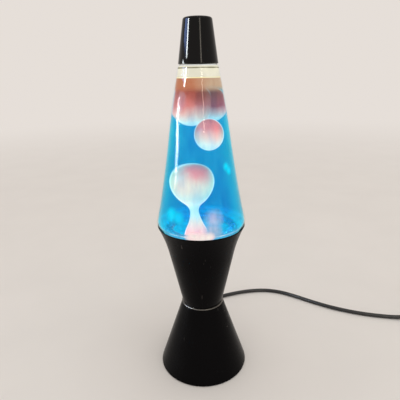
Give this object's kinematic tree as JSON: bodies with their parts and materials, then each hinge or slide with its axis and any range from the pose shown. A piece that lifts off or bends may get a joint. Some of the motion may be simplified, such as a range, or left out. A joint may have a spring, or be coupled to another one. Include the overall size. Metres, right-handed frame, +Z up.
{
  "type": "lava lamp",
  "caption": "Decorative lamp: tapered glass globe of blue liquid and rising wax on a black hourglass base, with small cap, screw-in bulb, cord with rotary switch and plug.",
  "frame": {"origin": "centre of the foot on the surface that the lamp stands on", "axes": "+Z up along the lamp's axis, -Y the front, cord leaves at the back towards +Y and runs to +X"},
  "size_m": [0.481, 0.1897, 0.3683],
  "materials": {
    "black_gloss": "glossy black paint on spun metal",
    "cap_black": "glossy black paint on spun metal",
    "bright_trim": "polished thin trim",
    "plated_steel": "zinc plated steel",
    "tinplate": "tinplate",
    "liner": "soft liner",
    "globe_glass": "clear moulded glass",
    "bulb_glass": "clear blown glass",
    "blue_liquid": "clear blue liquid, lit from below",
    "wax": "molten wax, pink above and white below, lit from inside",
    "spring_wire": "bright coiled wire",
    "holder_black": "moulded phenolic",
    "brass": "bright brass",
    "black_plastic": "fine moulded grain",
    "black_rubber": "soft satin rubber",
    "cord_black": "satin black cord sheath",
    "lead_white": "thin lead insulation"
  },
  "bodies": {
    "base": {"cup_shell": "black_gloss", "waist_bead": "bright_trim", "foot_shell": "black_gloss", "clamp_washer": "plated_steel", "holder_ring_nut": "brass", "lamp_holder_body": "holder_black", "holder_screw_shell": "brass", "holder_centre_contact": "brass", "terminal_screws": "brass", "inner_leads": "lead_white", "plate_lugs": "plated_steel", "bottom_plate": "black_plastic", "plate_screws": "plated_steel", "rubber_feet": "black_rubber", "strain_relief": "black_rubber", "cord_run": "cord_black", "cord_link": "cord_black", "cord_coil": "cord_black", "cord_tail": "cord_black", "cord_tie": "black_plastic", "switch_lower_half": "black_plastic", "switch_upper_half": "black_plastic", "switch_pin": "brass", "switch_screw": "plated_steel", "plug_body": "black_rubber", "plug_blades": "brass"},
    "globe": {"crown_cap": "tinplate", "crown_liner": "liner", "glass_globe": "globe_glass", "liquid": "blue_liquid", "wax_rising_blob": "wax", "wax_upper_mass": "wax", "wax_rear_mass": "wax", "heating_coil": "spring_wire"},
    "cap": {"cap_shell": "cap_black"},
    "bead": {"wax_bead": "wax"},
    "bulb_carriage": {"bulb_tip_contact": "plated_steel"},
    "bulb": {"bulb_glass": "bulb_glass", "bulb_screw_base": "plated_steel", "bulb_insulator": "holder_black", "bulb_stem": "bulb_glass", "bulb_filament": "spring_wire"},
    "switch_wheel": {"switch_wheel": "black_plastic"}
  },
  "joints": [
    {"name": "globe_lift", "type": "slide", "parent": "base", "child": "globe", "axis": [0, 0, 1], "range_m": [0, 0.12]},
    {"name": "cap_lift", "type": "slide", "parent": "globe", "child": "cap", "axis": [0, 0, 1], "range_m": [0, 0.06]},
    {"name": "bead_drift", "type": "slide", "parent": "globe", "child": "bead", "axis": [0, 0, 1], "range_m": [-0.012, 0], "deforming": ["liquid"]},
    {"name": "bulb_rise", "type": "slide", "parent": "base", "child": "bulb_carriage", "axis": [0, 0, 1], "range_m": [0, 0.012]},
    {"name": "bulb_turn", "type": "hinge", "parent": "bulb_carriage", "child": "bulb", "pos_m": [0, 0, 0.0715], "axis": [0, 0, 1], "range_deg": [0, 1530]},
    {"name": "switch_turn", "type": "hinge", "parent": "base", "child": "switch_wheel", "pos_m": [0.317, 0.067, 0.007], "axis": [0, 0, 1], "continuous": true}
  ],
  "couplings": [
    {"joint": "bulb_rise", "follows": "bulb_turn", "m_per_rad": 0.00044913}
  ]
}
